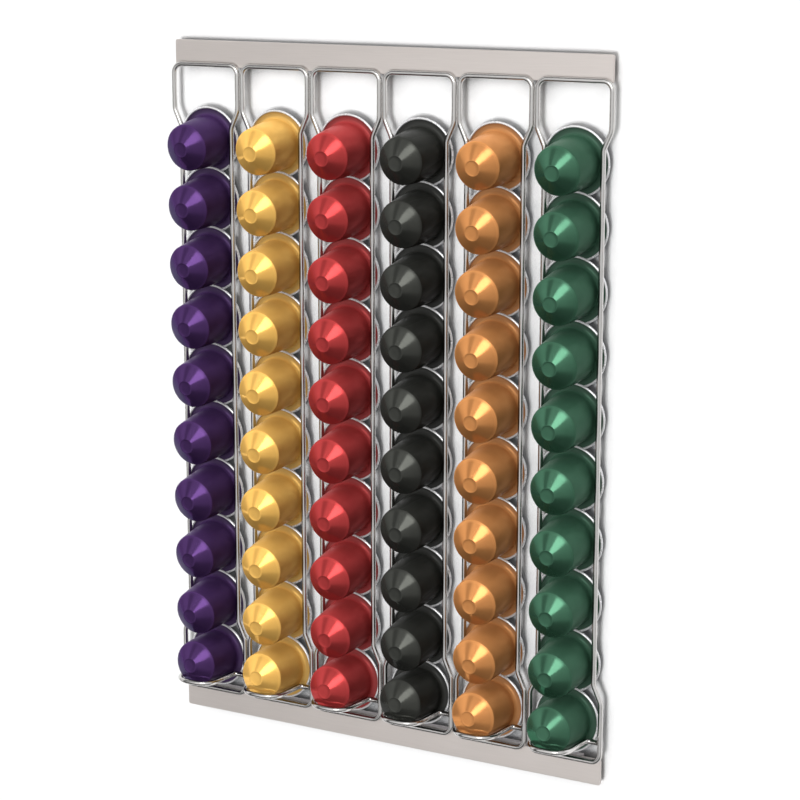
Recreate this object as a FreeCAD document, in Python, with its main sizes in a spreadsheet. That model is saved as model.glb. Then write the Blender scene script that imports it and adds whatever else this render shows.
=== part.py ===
import FreeCAD, Part
import Sketcher
import math
import os
import re

# Wall rack of bent wire for coffee capsules: two bars on adhesive strips carry
# six wire loops, and each loop holds a column of leaning, overlapping capsules.
# Frame: origin at the middle of the top bar where it meets the wall, +X to the
# right, +Y into the wall, +Z up. Lengths are in millimetres, leans in degrees.

doc = FreeCAD.newDocument("CapsuleHolder")

# Driving dimensions, one cell each.
SIZES = {
    # capsule
    "rim_diameter": "37.0",
    "rim_bead_diameter": "1.2",
    "flange_thickness": "0.3",
    "cup_wall": "0.3",
    "body_diameter": "27.6",
    "side_bow": "0.35",
    "shoulder_inset": "1.2",
    "shoulder_depth": "22.2",
    "shoulder_radius": "1.4",
    "nose_height": "6.0",
    "tip_diameter": "8.3",
    "tip_dimple": "0.25",
    "lid_thickness": "0.2",
    "lid_edge_margin": "0.3",
    "seal_gap": "0.05",
    "coffee_gap": "0.2",
    # how the capsules stand in the channels
    "loading_height": "21.45",
    "row_gap": "0.44",
    "rim_nest": "0.63",
    "low_rim_gap": "0.5",
    "low_rim_clearance": "0.69",
    "lean_angle": "6.0",
    "low_lean_angle": "-2.1",
    # wire loops
    "wire_diameter": "2.8",
    "window_clearance": "0.6",
    "neck_clearance": "1.0",
    "column_gap": "0.4",
    "corner_radius": "5.0",
    "kink_radius": "7.0",
    "window_height": "24.5",
    "narrowing_height": "9.5",
    "widening_height": "9.7",
    "outlet_height": "32.9",
    # catch wires
    "catch_angle": "35.5",
    "catch_clearance": "0.4",
    "catch_taper": "0.4",
    "catch_overreach": "4.6",
    "catch_foot_radius": "3.0",
    "catch_round_share": "0.8",
    "weld_gap": "0.05",
    # bars and the strips behind them
    "bar_height": "14.2",
    "bar_thickness": "1.5",
    "bar_corner_radius": "1.2",
    "bar_edge_radius": "0.3",
    "bar_end_inset": "0.2",
    "bar_lap_on_wire": "1.1",
    "strip_thickness": "4.5",
    "strip_edge_margin": "0.2",
    "strip_left_margin": "2.0",
    "strip_right_margin": "12.0",
    # shares
    "half_share": "0.5",
    "foot_share": "0.68",
}
COLOURS = ["violet", "gold", "red", "black", "copper", "green"]
ROW_COUNT = 10

sheet = doc.addObject("Spreadsheet::Sheet", "Sizes")
for line_number, (alias, text) in enumerate(SIZES.items(), start=1):
    cell = "A" + str(line_number)
    sheet.set(cell, text)
    sheet.setAlias(cell, alias)
doc.recompute()


def named(expression):
    # Puts the sheet's name before every alias of an expression.
    return re.sub("[a-z_]+", lambda word: "Sizes." + word[0] if word[0] in SIZES else word[0], expression)


def value(expression):
    result = sheet.evalExpression(named(expression))
    return float(getattr(result, "Value", result))


# Radii of the capsule and of the wire.
RIM = "rim_diameter * half_share"
BEAD = "rim_bead_diameter * half_share"
BODY = "body_diameter * half_share"
SHOULDER = "( " + BODY + " - shoulder_inset )"
TIP = "tip_diameter * half_share"
WIRE_RADIUS = "wire_diameter * half_share"

# Distances out from the wall. A leaning rim reaches out between the wires of the neck,
# and the lowest rim stands clear of the lid that hangs behind it.
BAR_BACK = "strip_thickness"
BAR_FRONT = "( strip_thickness + bar_thickness )"
WIRE_PLANE = "( " + BAR_FRONT + " + " + WIRE_RADIUS + " )"
RIM_TIP = "( " + RIM + " * sin(lean_angle) )"
LOW_RIM_TIP = "( " + RIM + " * sin(low_lean_angle) )"
LID_BACK = "( rim_bead_diameter + seal_gap + lid_thickness )"
RIM_OUT = "( " + BAR_FRONT + " - " + RIM_TIP + " + rim_nest )"
LOW_RIM_OUT = "( " + RIM_OUT + " - " + RIM_TIP + " - " + LOW_RIM_TIP + " + " + LID_BACK + " + low_rim_gap )"

# Levels down from the origin. Each rim clears the body of the capsule above it, and
# the rack is as long as its rows of capsules need.
HALF_HEIGHT = "bar_height * half_share"
ROW_PITCH = "( " + RIM + " + " + BODY + " + row_gap )"
FIRST_ROW = "( " + HALF_HEIGHT + " + loading_height + " + RIM + " )"
LAST_ROW = "( " + FIRST_ROW + " + " + ROW_PITCH + " * " + str(ROW_COUNT - 1) + " )"
BOTTOM_BAR = "( " + LAST_ROW + " + " + RIM + " + low_rim_clearance + " + HALF_HEIGHT + " )"
TOP_RUN = "( " + HALF_HEIGHT + " - bar_lap_on_wire )"
NARROWING_TOP = "( " + TOP_RUN + " + window_height )"
NECK_TOP = "( " + NARROWING_TOP + " + narrowing_height )"
BOTTOM_RUN = "( " + BOTTOM_BAR + " - " + TOP_RUN + " )"
OUTLET_TOP = "( " + BOTTOM_RUN + " - outlet_height )"
NECK_BOTTOM = "( " + OUTLET_TOP + " - widening_height )"

# Widths from the middle of a column: a rim passes the window, a body passes the neck.
WINDOW = "( " + RIM + " + " + WIRE_RADIUS + " + window_clearance )"
NECK = "( " + BODY + " + " + WIRE_RADIUS + " + neck_clearance )"
COLUMN_PITCH = "( " + WINDOW + " + " + WINDOW + " + wire_diameter + column_gap )"

# The catch wire keeps a clearance round the lowest body and passes in front of its shoulder.
CATCH_RING = "( " + BODY + " + " + WIRE_RADIUS + " + catch_clearance )"
CATCH_FOOT = "( " + CATCH_RING + " * cos(catch_angle) )"
CATCH_LEVEL = "( " + LAST_ROW + " + " + CATCH_RING + " * sin(catch_angle) )"
CATCH_FRONT = "( " + CATCH_FOOT + " - shoulder_inset - catch_taper )"
CATCH_REACH = "( " + LOW_RIM_OUT + " + shoulder_depth + catch_overreach - " + WIRE_PLANE + " )"
CATCH_ROUND = "( " + CATCH_FRONT + " * catch_round_share )"

# Sketch names: the origin and axes, and the numbered points of a line or arc.
ACROSS_AXIS, UP_AXIS = -1, -2
ORIGIN = ACROSS_AXIS
START, END, CENTRE = range(1, 4)
UPRIGHT = FreeCAD.Vector(0, 0, 1)
SIDEWAYS = FreeCAD.Vector(1, 0, 0)
FULL_TURN = 360


def bind(sketch, kind, first, point, expression):
    # A distance from the sketch's origin, held by an expression.
    index = sketch.addConstraint(Sketcher.Constraint(kind, ORIGIN, START, first, point, value(expression)))
    sketch.setExpression("Constraints[" + str(index) + "]", named(expression))


def fix(sketch, geometry, point, across, up):
    # Holds one point of a sketch at a place given by two expressions.
    if across == "0":
        sketch.addConstraint(Sketcher.Constraint("PointOnObject", geometry, point, UP_AXIS))
    else:
        bind(sketch, "DistanceX", geometry, point, across)
    if up == "0":
        sketch.addConstraint(Sketcher.Constraint("PointOnObject", geometry, point, ACROSS_AXIS))
    else:
        bind(sketch, "DistanceY", geometry, point, up)


def radius(sketch, geometry, expression):
    index = sketch.addConstraint(Sketcher.Constraint("Radius", geometry, value(expression)))
    sketch.setExpression("Constraints[" + str(index) + "]", named(expression))


def vector(across, up):
    return FreeCAD.Vector(value(across), value(up), 0)


def bent_route(sketch, stations):
    # A chain of straight lines rounded at its corners. A station is its place across
    # and up, with a bend radius for every station but the first and the last.
    places = [vector(across, up) for across, up, bend in stations]
    begin = places[0]
    previous = None
    for number, (across, up, bend) in enumerate(stations):
        if number == 0:
            continue
        corner = places[number]
        towards = (corner - places[number - 1]).normalize()
        if bend is None:
            line = sketch.addGeometry(Part.LineSegment(begin, corner))
            fix(sketch, line, END, across, up)
        else:
            onwards = (places[number + 1] - corner).normalize()
            turn = towards.getAngle(onwards)
            reach = value(bend) * math.tan(turn * value("half_share"))
            arc_begin = corner - towards * reach
            arc_end = corner + onwards * reach
            inward = (onwards - towards).normalize()
            middle = corner + inward * (value(bend) / math.cos(turn * value("half_share")) - value(bend))
            line = sketch.addGeometry(Part.LineSegment(begin, arc_begin))
            arc = sketch.addGeometry(Part.Arc(arc_begin, middle, arc_end))
        if previous is None:
            fix(sketch, line, START, *stations[0][:2])
        else:
            last_arc, last_end, last_mark = previous
            sketch.addConstraint(Sketcher.Constraint("Tangent", last_arc, last_end, line, START))
            sketch.addConstraint(Sketcher.Constraint("PointOnObject", last_mark, START, line))
        if bend is not None:
            mark = sketch.addGeometry(Part.Point(corner), True)
            fix(sketch, mark, START, across, up)
            sketch.addConstraint(Sketcher.Constraint("PointOnObject", mark, START, line))
            clockwise = towards.cross(onwards).z < 0
            arc_near, arc_far = (END, START) if clockwise else (START, END)
            sketch.addConstraint(Sketcher.Constraint("Tangent", line, END, arc, arc_near))
            radius(sketch, arc, bend)
            previous = (arc, arc_far, mark)
            begin = arc_end


def plane(body, role):
    return [feature for feature in body.Origin.OriginFeatures if feature.Role == role][0]


def new_sketch(body, name, role):
    sketch = body.newObject("Sketcher::SketchObject", name)
    sketch.AttachmentSupport = [(plane(body, role), "")]
    sketch.MapMode = "FlatFace"
    return sketch


def outline(sketch, points):
    # A closed outline. A point is its place across and up, with the radius of the
    # arc that leads to the next point, or None for a straight line.
    lines = []
    for number, (across, up, bend) in enumerate(points):
        here = vector(across, up)
        there = vector(*points[(number + 1) % len(points)][:2])
        if bend is None:
            lines.append((sketch.addGeometry(Part.LineSegment(here, there)), START, END))
        else:
            chord = there - here
            size = value(bend)
            half = chord.Length * value("half_share")
            rise = size - math.sqrt(max(size * size - half * half, 0))
            side = FreeCAD.Vector(chord.y, -chord.x, 0).normalize() * rise
            middle = (here + there) * value("half_share") + side
            arc = sketch.addGeometry(Part.Arc(here, middle, there))
            turns_left = (middle - here).cross(there - middle).z > 0
            lines.append((arc, START, END) if turns_left else (arc, END, START))
    for number, (across, up, bend) in enumerate(points):
        edge, near, far = lines[number]
        before, before_near, before_far = lines[number - 1]
        sketch.addConstraint(Sketcher.Constraint("Coincident", before, before_far, edge, near))
    for number, (across, up, bend) in enumerate(points):
        edge, near, far = lines[number]
        fix(sketch, edge, near, across, up)
        if bend is not None:
            radius(sketch, edge, bend)


def wire_body(name, role, stations, section_at):
    # A round wire drawn along a bent route, from a section that crosses it at its start.
    across, depth, up = section_at
    body = doc.addObject("PartDesign::Body", name)
    route = new_sketch(body, name + "_route", role)
    bent_route(route, stations)
    section = new_sketch(body, name + "_section", "YZ_Plane")
    section.setExpression("AttachmentOffset.Base.z", named(across))
    ring = section.addGeometry(Part.Circle(vector(depth, up), UPRIGHT, value(WIRE_RADIUS)))
    fix(section, ring, CENTRE, depth, up)
    radius(section, ring, WIRE_RADIUS)
    pipe = body.newObject("PartDesign::AdditivePipe", name + "_pipe")
    pipe.Profile = section
    pipe.Spine = route
    body.Tip = pipe
    return body


def turned_body(name, points):
    # A solid turned about the capsule's axis, which runs along Y: a point is its
    # distance behind the front of the rim, and its radius.
    body = doc.addObject("PartDesign::Body", name)
    sketch = new_sketch(body, name + "_outline", "YZ_Plane")
    outline(sketch, points)
    turned = body.newObject("PartDesign::Revolution", name + "_turned")
    turned.Profile = sketch
    turned.ReferenceAxis = (sketch, ["H_Axis"])
    turned.Angle = FULL_TURN
    body.Tip = turned
    return body


def plate_body(name, points, thickness):
    # A flat piece that stands out from the wall by its thickness.
    body = doc.addObject("PartDesign::Body", name)
    sketch = new_sketch(body, name + "_outline", "XZ_Plane")
    outline(sketch, points)
    pad = body.newObject("PartDesign::Pad", name + "_pad")
    pad.Profile = sketch
    pad.setExpression("Length", named(thickness))
    body.Tip = pad
    return body


def round_edges(body, name, wanted, size):
    # Rounds those edges of the body's last feature that a test picks out.
    doc.recompute()
    base = body.Tip
    edges = base.Shape.Edges
    names = ["Edge" + str(number + 1) for number, edge in enumerate(edges) if wanted(edge)]
    fillet = body.newObject("PartDesign::Fillet", name)
    fillet.Base = (base, names)
    fillet.setExpression("Radius", named(size))
    body.Tip = fillet


def place(target, across, out, down, lean=None):
    # Puts a piece in the rack: out is its distance from the wall, down from the origin.
    if lean is not None:
        target.Placement = FreeCAD.Placement(FreeCAD.Vector(), FreeCAD.Rotation(SIDEWAYS, value(lean)))
        target.setExpression("Placement.Rotation.Angle", named(lean))
    target.setExpression("Placement.Base.x", named(across))
    target.setExpression("Placement.Base.y", named("0 - " + out))
    target.setExpression("Placement.Base.z", named("0 - " + down))


# Columns from left to right, measured from the middle one.
COLUMN_STEPS = len(COLOURS) - 1
COLUMNS = []
for number in range(len(COLOURS)):
    COLUMNS.append(COLUMN_PITCH + " * half_share * " + str(number + number - COLUMN_STEPS))
HALF_LENGTH = "( " + COLUMNS[-1] + " + " + WINDOW + " - bar_end_inset )"

print("bars and strips")
BAR_OUTLINE = [
    ("0 - " + HALF_LENGTH + " + bar_corner_radius", "0 - " + HALF_HEIGHT, None),
    (HALF_LENGTH + " - bar_corner_radius", "0 - " + HALF_HEIGHT, "bar_corner_radius"),
    (HALF_LENGTH, "0 - " + HALF_HEIGHT + " + bar_corner_radius", None),
    (HALF_LENGTH, HALF_HEIGHT + " - bar_corner_radius", "bar_corner_radius"),
    (HALF_LENGTH + " - bar_corner_radius", HALF_HEIGHT, None),
    ("0 - " + HALF_LENGTH + " + bar_corner_radius", HALF_HEIGHT, "bar_corner_radius"),
    ("0 - " + HALF_LENGTH, HALF_HEIGHT + " - bar_corner_radius", None),
    ("0 - " + HALF_LENGTH, "0 - " + HALF_HEIGHT + " + bar_corner_radius", "bar_corner_radius"),
]
STRIP_LEFT = "0 - " + HALF_LENGTH + " + strip_left_margin"
STRIP_RIGHT = HALF_LENGTH + " - strip_right_margin"
STRIP_TOP = HALF_HEIGHT + " - strip_edge_margin"
STRIP_BOTTOM = "strip_edge_margin - " + HALF_HEIGHT
STRIP_OUTLINE = [
    (STRIP_LEFT, STRIP_BOTTOM, None),
    (STRIP_RIGHT, STRIP_BOTTOM, None),
    (STRIP_RIGHT, STRIP_TOP, None),
    (STRIP_LEFT, STRIP_TOP, None),
]
nodes = []


def on_front(edge):
    # True for an edge that lies wholly in the front face of a bar.
    return edge.BoundBox.YMax < value("0 - bar_thickness + bar_thickness * half_share")


for side, level in (("top", "0"), ("bottom", BOTTOM_BAR)):
    bar = plate_body(side + "_bar", BAR_OUTLINE, "bar_thickness")
    round_edges(bar, side + "_bar_edges", on_front, "bar_edge_radius")
    place(bar, "0", BAR_BACK, level)
    strip = plate_body(side + "_strip", STRIP_OUTLINE, "strip_thickness")
    place(strip, "0", "0", level)
    nodes += [bar, strip]

print("wires")
LOOP_RIGHT = [
    (WINDOW, "0 - " + TOP_RUN, "corner_radius"),
    (WINDOW, "0 - " + NARROWING_TOP, "kink_radius"),
    (NECK, "0 - " + NECK_TOP, "kink_radius"),
    (NECK, "0 - " + NECK_BOTTOM, "kink_radius"),
    (WINDOW, "0 - " + OUTLET_TOP, "kink_radius"),
    (WINDOW, "0 - " + BOTTOM_RUN, "corner_radius"),
]
LOOP_LEFT = [("0 - " + across, up, bend) for across, up, bend in reversed(LOOP_RIGHT)]
LOOP_START = ("0", "0 - " + TOP_RUN, None)
LOOP_ROUTE = [LOOP_START] + LOOP_RIGHT + LOOP_LEFT + [LOOP_START]
CATCH_END = WINDOW + " - " + WIRE_RADIUS + " - weld_gap"
CATCH_ROUTE = [
    (CATCH_END, "0", None),
    (CATCH_FOOT, "0", "catch_foot_radius"),
    (CATCH_FRONT, "0 - " + CATCH_REACH, CATCH_ROUND),
    ("0 - " + CATCH_FRONT, "0 - " + CATCH_REACH, CATCH_ROUND),
    ("0 - " + CATCH_FOOT, "0", "catch_foot_radius"),
    ("0 - ( " + CATCH_END + " )", "0", None),
]
for number, column in enumerate(COLUMNS, start=1):
    channel = wire_body("channel_wire_" + str(number), "XZ_Plane", LOOP_ROUTE, ("0", "0", "0 - " + TOP_RUN))
    place(channel, column, WIRE_PLANE, "0")
    catch = wire_body("catch_wire_" + str(number), "XY_Plane", CATCH_ROUTE, (CATCH_END, "0", "0"))
    place(catch, column, WIRE_PLANE, CATCH_LEVEL)
    nodes += [channel, catch]

print("capsules")
FLANGE_FRONT = "rim_bead_diameter - flange_thickness"
DEPTH = "( shoulder_depth + nose_height )"
TIP_FLOOR = "tip_dimple - " + DEPTH
FOOT_RADIUS = "( " + RIM + " - rim_bead_diameter - " + BODY + " ) * foot_share"
SIDE_LENGTH = "( " + FLANGE_FRONT + " + shoulder_depth )"
SIDE_CHORD = "( " + SIDE_LENGTH + " ^ 2 + shoulder_inset ^ 2 )"
SIDE_CURVE = "( " + SIDE_CHORD + " * half_share ^ 2 + side_bow ^ 2 ) * half_share / side_bow"
CUP = [
    ("rim_bead_diameter", BODY + " - cup_wall", None),
    ("rim_bead_diameter", RIM + " - " + BEAD, BEAD),
    (BEAD, RIM, BEAD),
    ("0", RIM + " - " + BEAD, BEAD),
    (BEAD, RIM + " - rim_bead_diameter", None),
    (FLANGE_FRONT, RIM + " - rim_bead_diameter", None),
    (FLANGE_FRONT, BODY, SIDE_CURVE),
    ("0 - shoulder_depth", SHOULDER, None),
    ("0 - " + DEPTH, TIP, None),
    ("0 - " + DEPTH, TIP + " - cup_wall", None),
    (TIP_FLOOR, TIP + " - cup_wall - cup_wall", None),
    (TIP_FLOOR, "0", None),
    (TIP_FLOOR + " + cup_wall", "0", None),
    (TIP_FLOOR + " + cup_wall", TIP, None),
    ("cup_wall - shoulder_depth", SHOULDER + " - cup_wall", None),
]
COFFEE = [
    ("rim_bead_diameter - coffee_gap", "0", None),
    ("rim_bead_diameter - coffee_gap", BODY + " - cup_wall - coffee_gap", None),
    ("cup_wall + coffee_gap - shoulder_depth", SHOULDER + " - cup_wall - coffee_gap", None),
    (TIP_FLOOR + " + cup_wall + coffee_gap", TIP + " - coffee_gap", None),
    (TIP_FLOOR + " + cup_wall + coffee_gap", "0", None),
]
LID = [
    (LID_BACK, "0", None),
    (LID_BACK, RIM + " - lid_edge_margin", None),
    ("rim_bead_diameter + seal_gap", RIM + " - lid_edge_margin", None),
    ("rim_bead_diameter + seal_gap", "0", None),
]


def circle_at(along, size):
    # A test for the circle of a turned piece at a place along its axis and of a radius.
    def wanted(edge):
        middle = edge.BoundBox.Center.y - value(along)
        reach = edge.BoundBox.ZMax - value(size)
        slack = value("cup_wall * half_share")
        return abs(middle) < slack and abs(reach) < slack

    return wanted


ON_SHOULDER = circle_at("0 - shoulder_depth", SHOULDER)
ON_FOOT = circle_at(FLANGE_FRONT, BODY)


def stack(name, piece, column):
    # The capsules below the top one: copies of its piece, of which the lowest sits in the catch wire.
    links = []
    for row in range(1, ROW_COUNT):
        link = doc.addObject("App::Link", name + "_row_" + str(row + 1))
        link.LinkedObject = piece
        lowest = row == ROW_COUNT - 1
        out = LOW_RIM_OUT if lowest else RIM_OUT
        lean = "low_lean_angle" if lowest else "lean_angle"
        place(link, column, out, "( " + FIRST_ROW + " + " + ROW_PITCH + " * " + str(row) + " )", lean)
        links.append(link)
    group = doc.addObject("Part::Compound", name)
    group.Links = links
    return group


for colour, column in zip(COLOURS, COLUMNS):
    cup = turned_body("top_cup_" + colour, CUP)
    round_edges(cup, "top_cup_shoulder_" + colour, ON_SHOULDER, "shoulder_radius")
    round_edges(cup, "top_cup_foot_" + colour, ON_FOOT, FOOT_RADIUS)
    coffee = turned_body("top_coffee_" + colour, COFFEE)
    lid = turned_body("top_lid_" + colour, LID)
    for piece, group in ((cup, "stack_cups_"), (coffee, "stack_coffee_"), (lid, "stack_lids_")):
        place(piece, column, RIM_OUT, FIRST_ROW, "lean_angle")
        nodes += [piece, stack(group + colour, piece, column)]

doc.recompute()
for item in doc.Objects:
    if "Invalid" in item.State or "Error" in item.State:
        raise RuntimeError(item.Name + " failed to build")
for node in nodes:
    if node.Shape.isNull() or not node.Shape.isValid() or not node.Shape.Solids:
        raise RuntimeError(node.Name + " has no valid solid")

os.makedirs("parts", exist_ok=True)
for node in nodes:
    node.Label = node.Name
    node.Shape.exportStep(os.path.join("parts", node.Label + ".step"))
print(len(nodes), "nodes written")
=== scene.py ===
import bpy
import bmesh
import math
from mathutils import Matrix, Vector


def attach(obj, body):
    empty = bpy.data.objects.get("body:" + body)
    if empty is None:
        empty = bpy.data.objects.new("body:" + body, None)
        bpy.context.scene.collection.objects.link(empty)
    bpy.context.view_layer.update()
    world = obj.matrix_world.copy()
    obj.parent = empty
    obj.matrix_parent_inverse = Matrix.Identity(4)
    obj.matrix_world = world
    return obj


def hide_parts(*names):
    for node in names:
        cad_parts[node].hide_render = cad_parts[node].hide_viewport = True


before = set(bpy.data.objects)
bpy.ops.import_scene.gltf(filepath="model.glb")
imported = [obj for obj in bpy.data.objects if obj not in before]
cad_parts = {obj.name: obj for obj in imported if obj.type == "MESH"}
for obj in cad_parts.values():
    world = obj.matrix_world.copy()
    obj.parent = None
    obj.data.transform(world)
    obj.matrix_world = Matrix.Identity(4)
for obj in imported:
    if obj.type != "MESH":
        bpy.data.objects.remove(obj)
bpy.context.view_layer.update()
scene = bpy.context.scene
mm = 0.001
mergeGap = 0.002 * mm  # points this close become one
nearBy = 0.01 * mm  # how far off its plane a picked point may lie

colourNames = ["violet", "gold", "red", "black", "copper", "green"]
columnPitch = 44.2
middleColumn = (len(colourNames) - 1) / 2
columnPlaces = [(number - middleColumn) * columnPitch for number in range(len(colourNames))]


def dropSelection():
    if bpy.context.mode != "OBJECT":
        bpy.ops.object.mode_set(mode="OBJECT")
    bpy.ops.object.select_all(action="DESELECT")


def pickOnly(piece):
    dropSelection()
    piece.select_set(True)
    bpy.context.view_layer.objects.active = piece


def nameLast(name):
    piece = bpy.context.object
    piece.name = name
    piece.data.name = name
    return piece


def editAll(piece, mode="VERT"):
    pickOnly(piece)
    bpy.ops.object.mode_set(mode="EDIT")
    bpy.ops.mesh.select_mode(type=mode)
    bpy.ops.mesh.select_all(action="SELECT")


def pickIn(piece, kind, wanted):  # selects the edges, faces or points that pass a test, in edit mode
    bpy.ops.mesh.select_mode(type={"verts": "VERT", "edges": "EDGE", "faces": "FACE"}[kind])
    bpy.ops.mesh.select_all(action="DESELECT")
    work = bmesh.from_edit_mesh(piece.data)
    for item in getattr(work, kind):
        item.select_set(wanted(item))
    work.select_flush_mode()
    bmesh.update_edit_mesh(piece.data)


def closeUp(piece, smoothAngle):  # merges doubles, turns faces outwards and sets the shading
    editAll(piece)
    bpy.ops.mesh.remove_doubles(threshold=mergeGap)
    bpy.ops.mesh.normals_make_consistent(inside=False)
    bpy.ops.object.mode_set(mode="OBJECT")
    bpy.ops.object.shade_smooth_by_angle(angle=math.radians(smoothAngle))


def settle(piece):  # leaves the object at the origin, with its place in its mesh
    pickOnly(piece)
    bpy.ops.object.transform_apply(location=True, rotation=True, scale=True)


def copyOf(piece, name):
    pickOnly(piece)
    bpy.ops.object.duplicate(linked=False)
    return nameLast(name)


def joinAs(pieces, name):
    dropSelection()
    for piece in pieces:
        piece.select_set(True)
    bpy.context.view_layer.objects.active = pieces[0]
    if len(pieces) > 1:
        bpy.ops.object.join()
    return nameLast(name)


noiseShape = {  # what the shared effects keep in every finish
    "mottleDetail": 4.0, "mottleRoughness": 0.6, "mottleLow": 0.3, "mottleHigh": 0.7, "lineDetail": 3.0,
}


def newGroup(name, inputs, outputs):
    group = bpy.data.node_groups.new(name, "ShaderNodeTree")
    for label, kind, value in inputs:
        socket = group.interface.new_socket(label, in_out="INPUT", socket_type=kind)
        socket.default_value = value
    for label, kind in outputs:
        group.interface.new_socket(label, in_out="OUTPUT", socket_type=kind)
    return group, group.nodes.new("NodeGroupInput"), group.nodes.new("NodeGroupOutput")


def makeMottle():  # slow change of a value over a surface, from Low to High
    group, given, out = newGroup(
        "handlingMottle",
        [("Scale", "NodeSocketFloat", 60.0),
         ("Low", "NodeSocketFloat", 0.2), ("High", "NodeSocketFloat", 0.3)],
        [("Value", "NodeSocketFloat"), ("Mask", "NodeSocketFloat")],
    )
    place = group.nodes.new("ShaderNodeTexCoord")
    cloud = group.nodes.new("ShaderNodeTexNoise")
    cloud.inputs["Detail"].default_value = noiseShape["mottleDetail"]
    cloud.inputs["Roughness"].default_value = noiseShape["mottleRoughness"]
    spread = group.nodes.new("ShaderNodeMapRange")
    spread.inputs["From Min"].default_value = noiseShape["mottleLow"]
    spread.inputs["From Max"].default_value = noiseShape["mottleHigh"]
    fit = group.nodes.new("ShaderNodeMapRange")
    group.links.new(place.outputs["Object"], cloud.inputs["Vector"])
    group.links.new(given.outputs["Scale"], cloud.inputs["Scale"])
    group.links.new(cloud.outputs["Fac"], spread.inputs["Value"])
    group.links.new(spread.outputs["Result"], fit.inputs["Value"])
    group.links.new(given.outputs["Low"], fit.inputs["To Min"])
    group.links.new(given.outputs["High"], fit.inputs["To Max"])
    group.links.new(fit.outputs["Result"], out.inputs["Value"])
    group.links.new(spread.outputs["Result"], out.inputs["Mask"])
    return group


def makeGrain():  # fine lines, drawn out along one direction by a stretched noise
    group, given, out = newGroup(
        "drawnGrain",
        [("Stretch", "NodeSocketVector", (1.0, 1.0, 1.0)), ("Scale", "NodeSocketFloat", 400.0)],
        [("Height", "NodeSocketFloat")],
    )
    place = group.nodes.new("ShaderNodeTexCoord")
    stretch = group.nodes.new("ShaderNodeVectorMath")
    stretch.operation = "MULTIPLY"
    lines = group.nodes.new("ShaderNodeTexNoise")
    lines.inputs["Detail"].default_value = noiseShape["lineDetail"]
    group.links.new(place.outputs["Object"], stretch.inputs[0])
    group.links.new(given.outputs["Stretch"], stretch.inputs[1])
    group.links.new(stretch.outputs["Vector"], lines.inputs["Vector"])
    group.links.new(given.outputs["Scale"], lines.inputs["Scale"])
    group.links.new(lines.outputs["Fac"], out.inputs["Height"])
    return group


def makeRingLines():  # lines round a pressed cup, from the length along its outline
    group, given, out = newGroup(
        "pressedRings",
        [("Scale", "NodeSocketFloat", 3000.0)],
        [("Height", "NodeSocketFloat")],
    )
    along = group.nodes.new("ShaderNodeAttribute")
    along.attribute_name = "ringLength"
    lines = group.nodes.new("ShaderNodeTexNoise")
    lines.noise_dimensions = "1D"
    lines.inputs["Detail"].default_value = noiseShape["lineDetail"]
    group.links.new(along.outputs["Fac"], lines.inputs["W"])
    group.links.new(given.outputs["Scale"], lines.inputs["Scale"])
    group.links.new(lines.outputs["Fac"], out.inputs["Height"])
    return group


def makeRingStep():  # one value towards a cup's rim and another towards its tip
    group, given, out = newGroup(
        "ringStep",
        [("Start", "NodeSocketFloat", 0.0), ("Stop", "NodeSocketFloat", 0.01),
         ("Rim", "NodeSocketFloat", 0.0), ("Tip", "NodeSocketFloat", 1.0)],
        [("Value", "NodeSocketFloat")],
    )
    along = group.nodes.new("ShaderNodeAttribute")
    along.attribute_name = "ringLength"
    step = group.nodes.new("ShaderNodeMapRange")
    group.links.new(along.outputs["Fac"], step.inputs["Value"])
    group.links.new(given.outputs["Start"], step.inputs["From Min"])
    group.links.new(given.outputs["Stop"], step.inputs["From Max"])
    group.links.new(given.outputs["Rim"], step.inputs["To Min"])
    group.links.new(given.outputs["Tip"], step.inputs["To Max"])
    group.links.new(step.outputs["Result"], out.inputs["Value"])
    return group


mottleGroup = makeMottle()
stepGroup = makeRingStep()
grainGroup = makeGrain()
ringGroup = makeRingLines()


def newFinish(name):
    finish = bpy.data.materials.new(name)
    finish.use_nodes = True
    nodes, links = finish.node_tree.nodes, finish.node_tree.links
    return finish, nodes, links, nodes["Principled BSDF"]


def addGroup(nodes, group, **values):
    node = nodes.new("ShaderNodeGroup")
    node.node_tree = group
    for label, value in values.items():
        node.inputs[label].default_value = value
    return node


def addMath(nodes, operation):
    node = nodes.new("ShaderNodeMath")
    node.operation = operation
    return node


def addBump(nodes, links, height, shader, strength, distance):
    bump = nodes.new("ShaderNodeBump")
    bump.inputs["Strength"].default_value = strength
    bump.inputs["Distance"].default_value = distance
    links.new(height, bump.inputs["Height"])
    links.new(bump.outputs["Normal"], shader.inputs["Normal"])


def addTwoTone(nodes, links, mask, first, second, target):
    tone = nodes.new("ShaderNodeMix")
    tone.data_type = "RGBA"
    tone.inputs["A"].default_value = (*first, 1.0)
    tone.inputs["B"].default_value = (*second, 1.0)
    links.new(mask, tone.inputs["Factor"])
    links.new(tone.outputs["Result"], target)
    return tone


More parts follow.
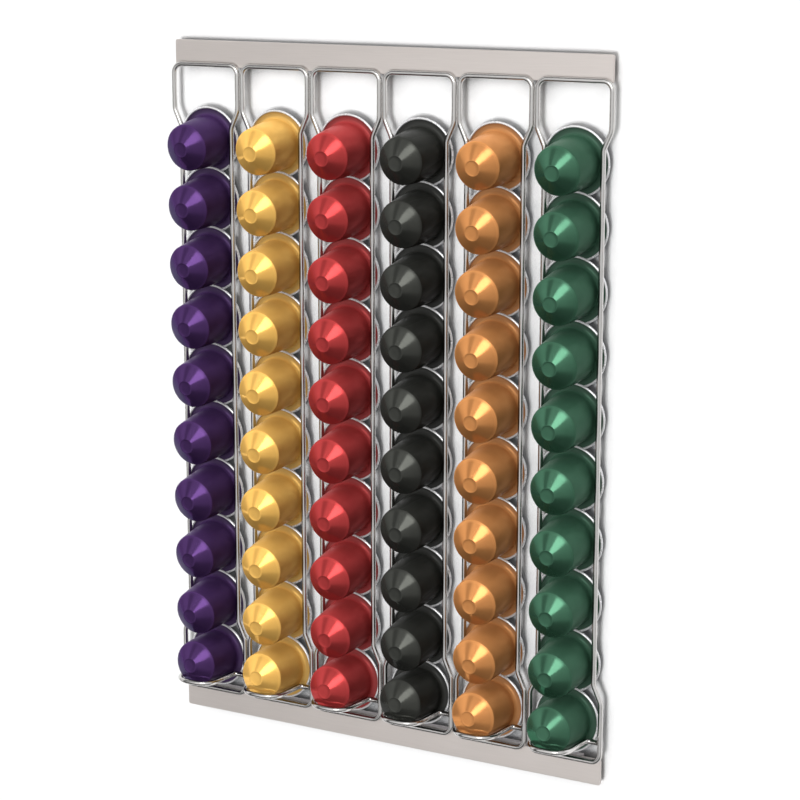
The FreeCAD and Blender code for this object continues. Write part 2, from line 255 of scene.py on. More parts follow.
anodised = {  # colour of the bare cup and of its thinner spots
    "violet": ((0.075, 0.034, 0.126), (0.064, 0.029, 0.110)),
    "gold": ((0.95, 0.56, 0.145), (0.90, 0.51, 0.122)),
    "red": ((0.49, 0.056, 0.055), (0.44, 0.047, 0.048)),
    "black": ((0.036, 0.037, 0.033), (0.029, 0.030, 0.027)),
    "copper": ((0.68, 0.295, 0.100), (0.62, 0.260, 0.086)),
    "green": ((0.050, 0.128, 0.080), (0.042, 0.110, 0.068)),
    "noseStart": 28.5 * mm,  # lengths along the cup's outline, from the back of its rim
    "noseStop": 30.5 * mm,
    "flangeStart": 5.0 * mm,
    "flangeStop": 7.5 * mm,
    "flangeShare": 0.55,  # painted shade: the flange and the outer part of the cup's foot get a darker, greyer colour, which damps the bright band the lamps put on the foot
    "flangeGrey": 0.02,
    "bounceShare": 0.42,  # painted shade in reflections: a cup's colour is darker in rays that bounce off it, so it is dimmer in its neighbours' reflections and in its bounce light, which the photo hardly shows
    "noseMetal": {"violet": 0.55, "gold": 0.46, "red": 0.55, "black": 0.62, "copper": 0.55, "green": 0.68},
    # painted highlight: the black and green noses get a paler colour than their sides, so their highlight
    # comes out stronger
    "noseShare": {"violet": 1.0, "gold": 1.0, "red": 1.0, "black": 1.8, "copper": 1.0, "green": 1.35},
    "sideMetal": 0.26,
    "sheen": 0.1,
    "sheenPower": 0.5,  # the sheen's tint is a paler form of the colour
    "markScale": 90.0,
    "roughLow": 0.13,
    "roughHigh": 0.18,
    "sideRough": 0.17,  # added to the roughness on the cup's side
    "lineScale": 2600.0,
    "lineStrength": 0.5,
    "lineDepth": 0.004 * mm,
}


def anodisedFinish(colour):
    finish, nodes, links, shader = newFinish("anodised_" + colour)
    main, thin = anodised[colour]
    tint = [part ** anodised["sheenPower"] for part in main]
    shader.inputs["Specular IOR Level"].default_value = anodised["sheen"]
    shader.inputs["Specular Tint"].default_value = (*tint, 1.0)
    nose = {"Start": anodised["noseStart"], "Stop": anodised["noseStop"]}
    metal = addGroup(nodes, stepGroup, **nose, Rim=anodised["sideMetal"], Tip=anodised["noseMetal"][colour])
    links.new(metal.outputs["Value"], shader.inputs["Metallic"])
    marks = addGroup(
        nodes, mottleGroup, Scale=anodised["markScale"], Low=anodised["roughLow"], High=anodised["roughHigh"],
    )
    satin = addGroup(nodes, stepGroup, **nose, Rim=anodised["sideRough"], Tip=0.0)
    rough = addMath(nodes, "ADD")
    links.new(marks.outputs["Value"], rough.inputs[0])
    links.new(satin.outputs["Value"], rough.inputs[1])
    links.new(rough.outputs["Value"], shader.inputs["Roughness"])
    # painted shade: the cup's colour is darkened for glossy and diffuse rays, which dims its reflections and
    # bounce light
    rays = nodes.new("ShaderNodeLightPath")
    bounced = addMath(nodes, "MAXIMUM")
    links.new(rays.outputs["Is Glossy Ray"], bounced.inputs[0])
    links.new(rays.outputs["Is Diffuse Ray"], bounced.inputs[1])
    bounceShadeColour = [part * anodised["bounceShare"] for part in main]
    seen = addTwoTone(nodes, links, bounced.outputs["Value"], main, bounceShadeColour, shader.inputs["Base Color"])
    # painted shade on the flange and the cup's foot, a darker and greyer form of the colour
    flange = [part * anodised["flangeShare"] + anodised["flangeGrey"] for part in main]
    inner = addGroup(nodes, stepGroup, Start=anodised["flangeStart"], Stop=anodised["flangeStop"])
    tone = addTwoTone(nodes, links, inner.outputs["Value"], flange, main, seen.inputs["A"])
    front = addGroup(nodes, stepGroup, **nose)
    cup = addTwoTone(nodes, links, front.outputs["Value"], main, main, tone.inputs["B"])
    for share, side in ((1.0, "A"), (anodised["noseShare"][colour], "B")):  # the cup's side, then its nose, whose colour is lifted as a painted highlight
        tones = [[part * share for part in shown] for shown in (main, thin)]
        addTwoTone(nodes, links, marks.outputs["Mask"], *tones, cup.inputs[side])
    rings = addGroup(nodes, ringGroup, Scale=anodised["lineScale"])
    addBump(nodes, links, rings.outputs["Height"], shader, anodised["lineStrength"], anodised["lineDepth"])
    return finish


def markedMetal(name, look):  # metal whose roughness changes slowly over it
    finish, nodes, links, shader = newFinish(name)
    shader.inputs["Metallic"].default_value = look["metal"]
    low, high = look["rough"]
    marks = addGroup(nodes, mottleGroup, Scale=look["markScale"], Low=low, High=high)
    links.new(marks.outputs["Value"], shader.inputs["Roughness"])
    return finish, nodes, links, shader, marks


rimLook = {
    "metal": 0.6, "rough": (0.20, 0.32), "markScale": 140.0,
    "tones": ((0.93, 0.93, 0.94), (0.87, 0.87, 0.88)),
}


def rimFinish():
    finish, nodes, links, shader, marks = markedMetal("rim_bare_aluminium", rimLook)
    addTwoTone(nodes, links, marks.outputs["Mask"], *rimLook["tones"], shader.inputs["Base Color"])
    return finish


foilLook = {
    "metal": 1.0, "rough": (0.26, 0.42), "markScale": 120.0,
    "tones": ((0.84, 0.84, 0.85), (0.74, 0.74, 0.76)),
    "creaseScale": 420.0, "creaseStrength": 0.35, "creaseDepth": 0.05 * mm,
}


def foilFinish():
    finish, nodes, links, shader, marks = markedMetal("lid_foil", foilLook)
    addTwoTone(nodes, links, marks.outputs["Mask"], *foilLook["tones"], shader.inputs["Base Color"])
    creases = addGroup(nodes, mottleGroup, Scale=foilLook["creaseScale"], Low=0.0, High=1.0)
    strength, depth = foilLook["creaseStrength"], foilLook["creaseDepth"]
    addBump(nodes, links, creases.outputs["Value"], shader, strength, depth)
    return finish


wireLook = {
    "metal": 1.0, "rough": (0.16, 0.24), "markScale": 70.0,
    "tones": ((0.73, 0.715, 0.70), (0.66, 0.645, 0.63)),
}


def wireFinish():
    finish, nodes, links, shader, marks = markedMetal("wire_chrome", wireLook)
    addTwoTone(nodes, links, marks.outputs["Mask"], *wireLook["tones"], shader.inputs["Base Color"])
    return finish


barLook = {
    "metal": 0.4, "rough": (0.34, 0.42), "markScale": 24.0,
    "tones": ((0.685, 0.63, 0.60), (0.61, 0.56, 0.53)),
    "grainStretch": (0.03, 1.0, 1.0), "grainScale": 2600.0, "grainStrength": 0.4, "grainDepth": 0.01 * mm,
}


def barFinish():
    finish, nodes, links, shader, marks = markedMetal("bar_satin_steel", barLook)
    grain = addGroup(nodes, grainGroup, Stretch=barLook["grainStretch"], Scale=barLook["grainScale"])
    addTwoTone(nodes, links, grain.outputs["Height"], *barLook["tones"], shader.inputs["Base Color"])
    addBump(nodes, links, grain.outputs["Height"], shader, barLook["grainStrength"], barLook["grainDepth"])
    return finish


foamLook = {
    "rough": 0.9, "tones": ((0.25, 0.236, 0.238), (0.39, 0.366, 0.37)),
    "cellScale": 1800.0, "cellStrength": 0.6, "cellDepth": 0.2 * mm,
}
coffeeLook = {
    "rough": 0.85, "tones": ((0.11, 0.055, 0.028), (0.035, 0.017, 0.009)),
    "cellScale": 1400.0, "cellStrength": 0.8, "cellDepth": 0.4 * mm,
}


def cellFinish(name, look):  # small cells in colour and height, for foam and for coffee
    finish, nodes, links, shader = newFinish(name)
    shader.inputs["Roughness"].default_value = look["rough"]
    place = nodes.new("ShaderNodeTexCoord")
    cells = nodes.new("ShaderNodeTexVoronoi")
    cells.inputs["Scale"].default_value = look["cellScale"]
    links.new(place.outputs["Object"], cells.inputs["Vector"])
    addTwoTone(nodes, links, cells.outputs["Distance"], *look["tones"], shader.inputs["Base Color"])
    addBump(nodes, links, cells.outputs["Distance"], shader, look["cellStrength"], look["cellDepth"])
    return finish


cupFinishes = {colour: anodisedFinish(colour) for colour in colourNames}
bareRim = rimFinish()
foil = foilFinish()
chrome = wireFinish()
satinSteel = barFinish()
foam = cellFinish("strip_foam", foamLook)
grounds = cellFinish("ground_coffee", coffeeLook)
print("finishes made:", len(bpy.data.materials))

barPlate = {
    "length": 261.6, "height": 14.2, "thickness": 1.5, "back": 4.5, "levels": {"top": 0.0, "bottom": -368.0},
    "cornerRadius": 1.2, "cornerSteps": 8, "edgeRadius": 0.3, "edgeSteps": 3, "smoothAngle": 30,
}


def makeBar(name, level):
    dropSelection()
    half = barPlate["thickness"] / 2
    bpy.ops.mesh.primitive_cube_add(size=1, location=(0, -(barPlate["back"] + half) * mm, level * mm))
    bar = nameLast(name)
    bar.scale = (barPlate["length"] * mm, barPlate["thickness"] * mm, barPlate["height"] * mm)
    settle(bar)
    front = -(barPlate["back"] + barPlate["thickness"]) * mm
    editAll(bar, "EDGE")
    pickIn(bar, "edges", lambda edge: abs(edge.verts[0].co.y - edge.verts[1].co.y) > half * mm)
    bpy.ops.mesh.bevel(
        offset=barPlate["cornerRadius"] * mm, offset_type="OFFSET",
        segments=barPlate["cornerSteps"], affect="EDGES",
    )
    pickIn(bar, "edges", lambda edge: max(abs(point.co.y - front) for point in edge.verts) < nearBy)
    bpy.ops.mesh.bevel(
        offset=barPlate["edgeRadius"] * mm, offset_type="OFFSET",
        segments=barPlate["edgeSteps"], affect="EDGES",
    )
    closeUp(bar, barPlate["smoothAngle"])
    bar.data.materials.append(satinSteel)
    return bar


foamStrip = {
    "left": -128.8, "right": 118.8, "height": 13.8, "thickness": 4.5, "film": 0.5, "waist": 0.3,
    "edgeOn": 0.5,  # a face whose normal has less than this along Y is on the strip's edge
    "smoothAngle": 30,
}


def makeStrip(name, level):
    dropSelection()
    middle = (foamStrip["left"] + foamStrip["right"]) / 2
    bpy.ops.mesh.primitive_cube_add(
        size=1, location=(middle * mm, -foamStrip["thickness"] / 2 * mm, level * mm),
    )
    strip = nameLast(name)
    length = foamStrip["right"] - foamStrip["left"]
    strip.scale = (length * mm, foamStrip["thickness"] * mm, foamStrip["height"] * mm)
    settle(strip)
    for depth in (foamStrip["film"], foamStrip["thickness"] - foamStrip["film"]):  # adhesive on both faces
        editAll(strip)
        bpy.ops.mesh.bisect(plane_co=(0, -depth * mm, 0), plane_no=(0, 1, 0))
    low, high = -(foamStrip["thickness"] - foamStrip["film"]) * mm, -foamStrip["film"] * mm
    pickIn(
        strip, "faces",
        lambda face: low < face.calc_center_median().y < high and abs(face.normal.y) < foamStrip["edgeOn"],
    )
    bpy.ops.mesh.extrude_region_shrink_fatten(
        TRANSFORM_OT_shrink_fatten={"value": -foamStrip["waist"] * mm, "use_even_offset": True}
    )
    closeUp(strip, foamStrip["smoothAngle"])
    strip.data.materials.append(foam)
    return strip


bars = []
for side, level in barPlate["levels"].items():
    bar = makeBar(side + "Bar", level)
    bars.append(bar)
    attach(bar, "rack")
    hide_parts(side + "_bar")
    strip = makeStrip(side + "FoamStrip", level)
    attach(strip, "rack")
    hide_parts(side + "_strip")
print("bars and strips made")

bentWire = {
    "radius": 1.4, "sides": 20, "plane": -7.4, "stepAngle": 9, "fewestSteps": 4, "smoothAngle": 60,
    "facing": (0, math.radians(90), 0),  # the first ring of points faces along X
}
channel = {  # corners of one loop: across, level, bend radius
    "start": (0.0, -6.0),
    "corners": [
        (20.5, -6.0, 5.0), (20.5, -30.5, 7.0), (16.2, -40.0, 7.0), (16.2, -319.4, 7.0),
        (20.5, -329.1, 7.0), (20.5, -362.0, 5.0), (-20.5, -362.0, 5.0), (-20.5, -329.1, 7.0),
        (-16.2, -319.4, 7.0), (-16.2, -40.0, 7.0), (-20.5, -30.5, 7.0), (-20.5, -6.0, 5.0),
    ],
}
catchBow = {  # corners of one bow: across, out from the wall, bend radius
    "end": 19.05, "level": -350.769, "flare": 1.12, "flareLength": 0.7,
    "corners": [(12.7, 7.4, 3.0), (11.1, 32.19, 8.88), (-11.1, 32.19, 8.88), (-12.7, 7.4, 3.0)],
}


def drawWire(name, stations):  # a ring of points is carried along the runs and spun round the bends
    places = [Vector(place) * mm for place, bend in stations]
    dropSelection()
    bpy.ops.mesh.primitive_circle_add(
        vertices=bentWire["sides"], radius=bentWire["radius"] * mm, location=places[0],
        rotation=bentWire["facing"],
    )
    wire = nameLast(name)
    settle(wire)
    editAll(wire)
    here = places[0]
    for number in range(1, len(stations)):
        corner, bend = places[number], stations[number][1]
        towards = (corner - places[number - 1]).normalized()
        if bend is None:
            bpy.ops.mesh.extrude_region_move(TRANSFORM_OT_translate={"value": corner - here})
            here = corner
            continue
        onwards = (places[number + 1] - corner).normalized()
        turn = towards.angle(onwards)
        axis = towards.cross(onwards).normalized()
        reach = bend * mm * math.tan(turn / 2)
        bpy.ops.mesh.extrude_region_move(TRANSFORM_OT_translate={"value": corner - towards * reach - here})
        centre = corner - towards * reach + axis.cross(towards) * bend * mm
        steps = max(bentWire["fewestSteps"], round(math.degrees(turn) / bentWire["stepAngle"]))
        bpy.ops.mesh.spin(steps=steps, angle=-turn, center=centre, axis=axis, use_auto_merge=False)
        here = corner + onwards * reach
    bpy.ops.object.mode_set(mode="OBJECT")
    return wire


def makeChannel():
    across, level = channel["start"]
    stations = [((across, bentWire["plane"], level), None)]
    stations += [((x, bentWire["plane"], z), bend) for x, z, bend in channel["corners"]]
    stations.append(stations[0])
    loop = drawWire("channelLoop", stations)
    closeUp(loop, bentWire["smoothAngle"])
    loop.data.materials.append(chrome)
    return loop


def makeCatch():
    end, level = catchBow["end"], catchBow["level"]
    stations = [((end, bentWire["plane"], level), None)]
    stations += [((x, -out, level), bend) for x, out, bend in catchBow["corners"]]
    stations.append(((-end, bentWire["plane"], level), None))
    bow = drawWire("catchBow", stations)
    for sign in (1, -1):  # each end spreads a little where it is welded on, and is closed
        inner = sign * (end - catchBow["flareLength"]) * mm
        editAll(bow)
        bpy.ops.mesh.bisect(plane_co=(inner, 0, 0), plane_no=(1, 0, 0))
        pickIn(bow, "verts", lambda point: abs(point.co.x - sign * end * mm) < nearBy)
        bpy.ops.transform.resize(
            value=(1, catchBow["flare"], catchBow["flare"]),
            center_override=(sign * end * mm, bentWire["plane"] * mm, level * mm),
        )
        bpy.ops.mesh.edge_face_add()
    closeUp(bow, bentWire["smoothAngle"])
    bow.data.materials.append(chrome)
    return bow


channelModel = makeChannel()
catchModel = makeCatch()
for number, across in enumerate(columnPlaces, start=1):
    for model, node in ((channelModel, "channel_wire_"), (catchModel, "catch_wire_")):
        wire = copyOf(model, model.name + str(number))
        wire.location.x = across * mm
        settle(wire)
        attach(wire, "rack")
        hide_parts(node + str(number))
for model in (channelModel, catchModel):
    bpy.data.objects.remove(model)
print("wires made")

capsuleCup = {  # pairs are the depth from the rim's front towards the nose, and the radius
    "segments": 64, "wall": 0.3, "smoothAngle": 40,
    "beadRadius": 0.6, "beadCentre": (-0.6, 17.9), "beadFrom": -90, "beadSweep": 270, "beadSteps": 10,
    "beadEase": (0.05, 0.1), "bareFrom": 17.25,  # the rim is bare metal outside this radius
    "flangeFront": -0.9, "flangeRadius": 16.9, "bodyRadius": 13.8, "footRadius": 2.38, "footSteps": 7,
    "sideBow": 0.35, "sideSteps": 8,
    "shoulder": (22.2, 12.6), "shoulderRadius": 1.0, "shoulderSteps": 6,
    "tip": (28.2, 4.15), "tipRadius": 0.25, "tipSteps": 3,
    "dimple": [(28.2, 3.85), (28.17, 3.7), (28.09, 3.5), (28.05, 3.25), (28.05, 1.6)],
}
foilLid = {  # depth and radius as for the cup
    "segments": 64, "smoothAngle": 30,
    "rings": [
        (-1.25, 18.2), (-1.45, 18.2), (-1.45, 14.7), (-1.49, 14.3), (-1.52, 12.0), (-1.54, 7.0), (-1.54, 2.0),
    ],
}
capsuleRows = {  # the lowest capsule lies in its catch wire at another lean
    "count": 10, "first": -47.05, "pitch": 32.74,
    "lean": 6.0, "out": 4.696, "lowLean": -2.1, "lowOut": 5.390,
}


def roundCorner(before, corner, after, size, steps):  # points of a rounded corner of an outline
    a, b, c = Vector(before), Vector(corner), Vector(after)
    towards, onwards = (b - a).normalized(), (c - b).normalized()
    turn = towards.angle(onwards)
    reach = size * math.tan(turn / 2)
    start, stop = b - towards * reach, b + onwards * reach
    middle = b + (onwards - towards).normalized() * size / math.cos(turn / 2)
    arm, far = start - middle, stop - middle
    points = []
    for step in range(steps + 1):
        share = step / steps
        ray = (arm * math.sin(turn * (1 - share)) + far * math.sin(turn * share)) / math.sin(turn)
        points.append(tuple(middle + ray))
    return points


def cupRings():
    cup = capsuleCup
    depth, radius = cup["beadCentre"]
    bead = cup["beadRadius"]
    rings = []
    for step in range(cup["beadSteps"] + 1):  # rolled rim, from its back over the outside to its inner side
        angle = math.radians(cup["beadFrom"] + cup["beadSweep"] * step / cup["beadSteps"])
        rings.append((depth + bead * math.sin(angle), radius + bead * math.cos(angle)))
    front, body = cup["flangeFront"], cup["bodyRadius"]
    rise, inset = cup["beadEase"]
    flange = (front, cup["flangeRadius"])
    rings += [(front + rise, radius - bead), (front, radius - bead - inset), flange]
    deep, narrow = cup["shoulder"]
    side = []
    for step in range(cup["sideSteps"] + 1):
        share = step / cup["sideSteps"]
        bulge = cup["sideBow"] * 4 * share * (1 - share)  # a parabola, sideBow high halfway
        side.append((front + (deep - front) * share, body + (narrow - body) * share + bulge))
    rings += roundCorner(flange, side[0], side[1], cup["footRadius"], cup["footSteps"])
    rings += side[1:-1]
    rings += roundCorner(side[-2], side[-1], cup["tip"], cup["shoulderRadius"], cup["shoulderSteps"])
    rings += roundCorner(side[-1], cup["tip"], cup["dimple"][0], cup["tipRadius"], cup["tipSteps"])[:-1]
    rings += cup["dimple"]
    return rings


def turnRings(name, rings, segments):  # a ring is extruded and scaled from one line of the table to the next
    dropSelection()
    depth, radius = rings[0]
    bpy.ops.mesh.primitive_circle_add(vertices=segments, radius=radius * mm, location=(0, 0, depth * mm))
    piece = nameLast(name)
    settle(piece)
    editAll(piece)
    for nextDepth, nextRadius in rings[1:]:
        bpy.ops.mesh.extrude_region_move(TRANSFORM_OT_translate={"value": (0, 0, (nextDepth - depth) * mm)})
        growth = nextRadius / radius
        bpy.ops.transform.resize(value=(growth, growth, 1), center_override=(0, 0, nextDepth * mm))
        depth, radius = nextDepth, nextRadius
    bpy.ops.mesh.extrude_region_move(TRANSFORM_OT_translate={"value": (0, 0, 0)})
    bpy.ops.mesh.merge(type="CENTER")
    bpy.ops.object.mode_set(mode="OBJECT")
    return piece


def markLength(piece, rings):  # keeps each point's length along the outline, for the cup's finish
    lengths = [0.0]
    for (z0, r0), (z1, r1) in zip(rings, rings[1:]):
        lengths.append(lengths[-1] + math.hypot(z1 - z0, r1 - r0))
    kept = piece.data.attributes.new("ringLength", "FLOAT", "POINT")
    for number, point in enumerate(piece.data.vertices):
        radius = math.hypot(point.co.x, point.co.y) / mm
        depth = point.co.z / mm
        near = min(range(len(rings)), key=lambda k: math.hypot(rings[k][0] - depth, rings[k][1] - radius))
        kept.data[number].value = lengths[near] * mm


def makeCup():
    rings = cupRings()
    cup = turnRings("cupModel", rings, capsuleCup["segments"])
    closeUp(cup, capsuleCup["smoothAngle"])
    markLength(cup, rings)
    cup.data.materials.append(None)  # each column's colour goes here
    cup.data.materials.append(bareRim)
    for face in cup.data.polygons:
        if math.hypot(face.center.x, face.center.y) > capsuleCup["bareFrom"] * mm:
            face.material_index = 1
    wall = cup.modifiers.new("wall", "SOLIDIFY")
    wall.thickness = capsuleCup["wall"] * mm
    wall.offset = -1
    pickOnly(cup)
    bpy.ops.object.modifier_apply(modifier="wall")
    return cup


def makeLid():
    lid = turnRings("lidModel", foilLid["rings"], foilLid["segments"])
    front = foilLid["rings"][0][0]
    editAll(lid)
    pickIn(lid, "verts", lambda point: abs(point.co.z - front * mm) < nearBy)
    bpy.ops.mesh.edge_face_add()
    closeUp(lid, foilLid["smoothAngle"])
    lid.data.materials.append(foil)
    return lid


def standUp(model, name, rows, across):  # copies of a capsule's piece, leaning in their rows
    lowest = capsuleRows["count"] - 1
    copies = []
    for row in rows:
        piece = copyOf(model, name)
        lean = capsuleRows["lowLean"] if row == lowest else capsuleRows["lean"]
        out = capsuleRows["lowOut"] if row == lowest else capsuleRows["out"]
        down = capsuleRows["first"] - capsuleRows["pitch"] * row
        piece.rotation_euler = (math.radians(90 + lean), 0, 0)
        piece.location = (across * mm, -out * mm, down * mm)
        settle(piece)
        copies.append(piece)
    return joinAs(copies, name)


cupModel = makeCup()
lidModel = makeLid()
for colour, across in zip(colourNames, columnPlaces):
    for part, rows in (("top", range(1)), ("stack", range(1, capsuleRows["count"]))):
        body = part + "_" + colour
        cups = standUp(cupModel, part + "Cups_" + colour, rows, across)
        cups.data.materials[0] = cupFinishes[colour]
        lids = standUp(lidModel, part + "Lids_" + colour, rows, across)
        for piece, node, slot in (
            (cups, "top_cup_" if part == "top" else "stack_cups_", "cup_" + colour),
            (lids, "top_lid_" if part == "top" else "stack_lids_", "lid_foil"),
        ):
            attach(piece, body)
            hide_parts(node + colour)
        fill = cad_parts[part + "_coffee_" + colour]
        fill.data.materials.clear()
        fill.data.materials.append(grounds)
for model in (cupModel, lidModel):
    bpy.data.objects.remove(model)
print("capsules made:", len(colourNames) * capsuleRows["count"])

# the open tone is the wall's own colour; the darker tone is painted shade, mixed in where things stand close
# in front of the wall
wallPanel = {
    "size": 8.0, "behind": 0.3, "rough": 0.9, "sheen": 0.1,
    "open": (0.95, 0.95, 0.95), "hidden": (0.10, 0.105, 0.11),
    "reach": 14.0, "samples": 8, "closed": 0.20, "clear": 0.80,
}


def makeWall():
    dropSelection()
    bpy.ops.mesh.primitive_plane_add(
        size=wallPanel["size"], location=(0, wallPanel["behind"] * mm, 0), rotation=(math.radians(90), 0, 0),
    )
    wall = nameLast("wallBackdrop")
    settle(wall)
    finish, nodes, links, shader = newFinish("wall_paint")
    shader.inputs["Roughness"].default_value = wallPanel["rough"]
    shader.inputs["Specular IOR Level"].default_value = wallPanel["sheen"]
    close = nodes.new("ShaderNodeAmbientOcclusion")  # painted shade: the wall's colour turns dark behind what stands close to it, from an occlusion test
    close.samples = wallPanel["samples"]
    close.inputs["Distance"].default_value = wallPanel["reach"] * mm
    spread = nodes.new("ShaderNodeMapRange")
    spread.interpolation_type = "SMOOTHSTEP"
    spread.inputs["From Min"].default_value = wallPanel["closed"]
    spread.inputs["From Max"].default_value = wallPanel["clear"]
    links.new(close.outputs["AO"], spread.inputs["Value"])
    tones = wallPanel["hidden"], wallPanel["open"]
    addTwoTone(nodes, links, spread.outputs["Result"], *tones, shader.inputs["Base Color"])
    rays = nodes.new("ShaderNodeLightPath")
    side = nodes.new("ShaderNodeNewGeometry")
    clear = nodes.new("ShaderNodeBsdfTransparent")
    either = addMath(nodes, "MAXIMUM")
    pick = nodes.new("ShaderNodeMixShader")
    out = nodes["Material Output"]
    links.new(rays.outputs["Is Shadow Ray"], either.inputs[0])  # light from behind reaches the lids
    links.new(side.outputs["Backfacing"], either.inputs[1])  # and the wall can be looked through from behind
    links.new(either.outputs["Value"], pick.inputs["Fac"])
    links.new(shader.outputs["BSDF"], pick.inputs[1])
    links.new(clear.outputs["BSDF"], pick.inputs[2])
    links.new(pick.outputs["Shader"], out.inputs["Surface"])
    wall.data.materials.append(finish)
    return wall


studio = {  # places in metres, angles in degrees
    "middle": (0, -0.02, -0.18), "sunPlace": (0, -1.5, 0.5),
    "frontStrength": 2.36, "frontAngle": 19.0, "frontTravel": (-0.07, 1.0, 0.19),
    "keyStrength": 1.6, "keyAngle": 60.0, "keyTravel": (0.26, 0.58, -0.77),
    "faceStrength": 1.9, "faceAngle": 20.0, "faceTravel": (0.165, 0.857, -0.49),
    "boxStrength": 4.2, "boxAway": 6.0, "boxTurn": 18.0, "boxRise": 27.0, "boxSize": (2.7, 3.3),
    "rearPower": 10.0, "rearSize": 1.2, "rearPlace": (-0.3, 1.2, 0.3),
    "fillRise": [(-1.0, 0.10), (-0.5, 0.24), (-0.2, 0.40), (0.1, 0.48), (0.5, 0.56), (1.0, 0.62)],
    "fillTurn": [
        (-180, 0.4), (-90, 0.9), (-45, 1.0), (10, 1.0), (40, 0.8), (70, 0.35), (110, 0.15), (180, 0.4),
    ],
    "skyRise": [
        (-1.0, 0.08), (-0.7, 0.18), (-0.42, 0.64), (-0.1, 0.78), (0.2, 0.98), (0.6, 0.98), (0.78, 0.50),
        (1.0, 0.15),
    ],
    "skyTurn": [
        (-180, 0.9), (-120, 0.75), (-95, 0.5), (-80, 0.7), (-62, 0.95), (-52, 0.1), (-42, 0.1), (-33, 0.8),
        (-22, 1.0), (15, 0.95), (45, 0.9), (90, 0.6), (120, 0.75), (180, 0.9),
    ],
}


def aim(thing, travel):
    thing.rotation_euler = Vector(travel).to_track_quat("-Z", "Y").to_euler()


def addSun(kind, flat, reach, shadow=True):  # reach lights the flat pieces alone, or all but them
    dropSelection()
    bpy.ops.object.light_add(type="SUN", location=studio["sunPlace"])
    sun = bpy.context.object
    sun.name = kind + "Light"
    sun.data.energy = studio[kind + "Strength"]
    sun.data.angle = math.radians(studio[kind + "Angle"])
    sun.data.use_shadow = shadow
    sun.visible_glossy = False
    aim(sun, studio[kind + "Travel"])
    lit = bpy.data.collections.new(kind + "LightReach")
    for piece in flat:
        lit.objects.link(piece)
    for member in lit.collection_objects:
        member.light_linking.link_state = reach
    sun.light_linking.receiver_collection = lit


def makeLights(flat):
    middle = Vector(studio["middle"])
    addSun("front", flat, "INCLUDE")
    addSun("key", flat, "EXCLUDE")
    addSun("face", flat, "EXCLUDE", shadow=False)
    turn, rise = math.radians(studio["boxTurn"]), math.radians(studio["boxRise"])
    away = Vector((math.sin(turn) * math.cos(rise), -math.cos(turn) * math.cos(rise), math.sin(rise)))
    wide, tall = studio["boxSize"]
    bpy.ops.object.light_add(type="AREA", location=middle + away * studio["boxAway"])
    box = bpy.context.object
    box.name = "windowBox"
    box.data.shape = "RECTANGLE"
    box.data.size = wide
    box.data.size_y = tall
    box.data.energy = studio["boxStrength"] * math.pi * wide * tall
    box.visible_camera = False
    box.visible_diffuse = False
    aim(box, -away)
    bpy.ops.object.light_add(type="AREA", location=middle + Vector(studio["rearPlace"]))
    rear = bpy.context.object
    rear.name = "rearLight"
    rear.data.size = studio["rearSize"]
    rear.data.energy = studio["rearPower"]
    rear.visible_camera = False
    aim(rear, middle - rear.location)


def addCurve(nodes, points):
    curve = nodes.new("ShaderNodeFloatCurve")
    line = curve.mapping.curves[0]
    line.points[0].location = points[0]
    line.points[-1].location = points[-1]
    for point in points[1:-1]:
        line.points.new(*point)
    curve.mapping.update()
    return curve


def addRise(nodes, points):  # over a direction's height, from -1 straight down to 1 straight up
    return addCurve(nodes, [((level + 1) / 2, bright) for level, bright in points])


def addTurn(nodes, points):  # over its bearing in degrees, 0 in front of the rack and 90 to the right
    return addCurve(nodes, [((angle + 180) / 360, share) for angle, share in points])


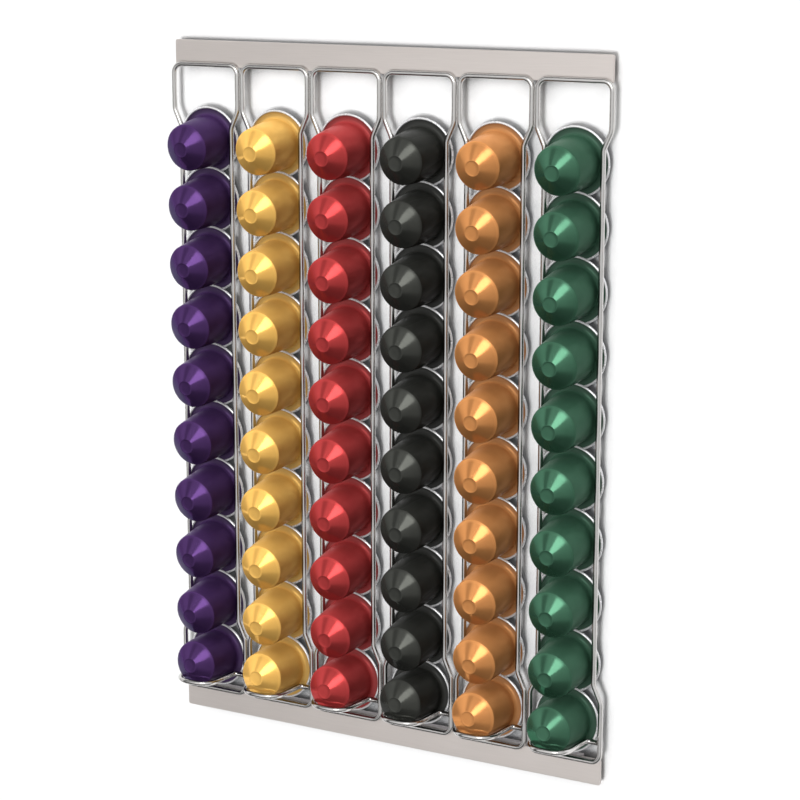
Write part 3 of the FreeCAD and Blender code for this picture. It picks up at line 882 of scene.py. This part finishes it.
def makeSky():
    world = bpy.data.worlds.new("studioSky")
    scene.world = world
    world.use_nodes = True
    nodes, links = world.node_tree.nodes, world.node_tree.links
    back = nodes["Background"]
    where = nodes.new("ShaderNodeTexCoord")
    split = nodes.new("ShaderNodeSeparateXYZ")
    links.new(where.outputs["Generated"], split.inputs["Vector"])
    height = nodes.new("ShaderNodeMapRange")
    height.inputs["From Min"].default_value = -1.0
    links.new(split.outputs["Z"], height.inputs["Value"])
    forward = addMath(nodes, "MULTIPLY")
    forward.inputs[1].default_value = -1.0
    links.new(split.outputs["Y"], forward.inputs[0])
    bearing = addMath(nodes, "ARCTAN2")
    links.new(split.outputs["X"], bearing.inputs[0])
    links.new(forward.outputs["Value"], bearing.inputs[1])
    around = nodes.new("ShaderNodeMapRange")
    around.inputs["From Min"].default_value = -math.pi
    around.inputs["From Max"].default_value = math.pi
    links.new(bearing.outputs["Value"], around.inputs["Value"])
    seen = nodes.new("ShaderNodeMix")  # metal sees the studio, plain surfaces get its soft fill
    for kind, socket in (("fill", "A"), ("sky", "B")):
        rise = addRise(nodes, studio[kind + "Rise"])
        turn = addTurn(nodes, studio[kind + "Turn"])
        shade = addMath(nodes, "MULTIPLY")
        links.new(height.outputs["Result"], rise.inputs["Value"])
        links.new(around.outputs["Result"], turn.inputs["Value"])
        links.new(rise.outputs["Value"], shade.inputs[0])
        links.new(turn.outputs["Value"], shade.inputs[1])
        links.new(shade.outputs["Value"], seen.inputs[socket])
    white = nodes.new("ShaderNodeMix")  # the camera sees white
    white.inputs["B"].default_value = 1.0
    rays = nodes.new("ShaderNodeLightPath")
    links.new(rays.outputs["Is Glossy Ray"], seen.inputs["Factor"])
    links.new(rays.outputs["Is Camera Ray"], white.inputs["Factor"])
    links.new(seen.outputs["Result"], white.inputs["A"])
    links.new(white.outputs["Result"], back.inputs["Color"])


photoView = {  # place and target in millimetres, clips in metres
    "place": (599.9, -1056.0, 82.2), "target": (10.65, -7.25, -179.4), "lens": 103.8, "sensor": 36.0,
    "clipStart": 0.05, "clipEnd": 50.0,
}


def makeCamera():
    dropSelection()
    bpy.ops.object.camera_add(location=Vector(photoView["place"]) * mm)
    camera = bpy.context.object
    camera.name = "photoCamera"
    camera.data.lens = photoView["lens"]
    camera.data.sensor_width = photoView["sensor"]
    camera.data.clip_start = photoView["clipStart"]
    camera.data.clip_end = photoView["clipEnd"]
    aim(camera, Vector(photoView["target"]) * mm - camera.location)
    scene.camera = camera


makeLights([makeWall(), *bars])
makeSky()
makeCamera()
scene.view_settings.view_transform = "Standard"
print("stage made")
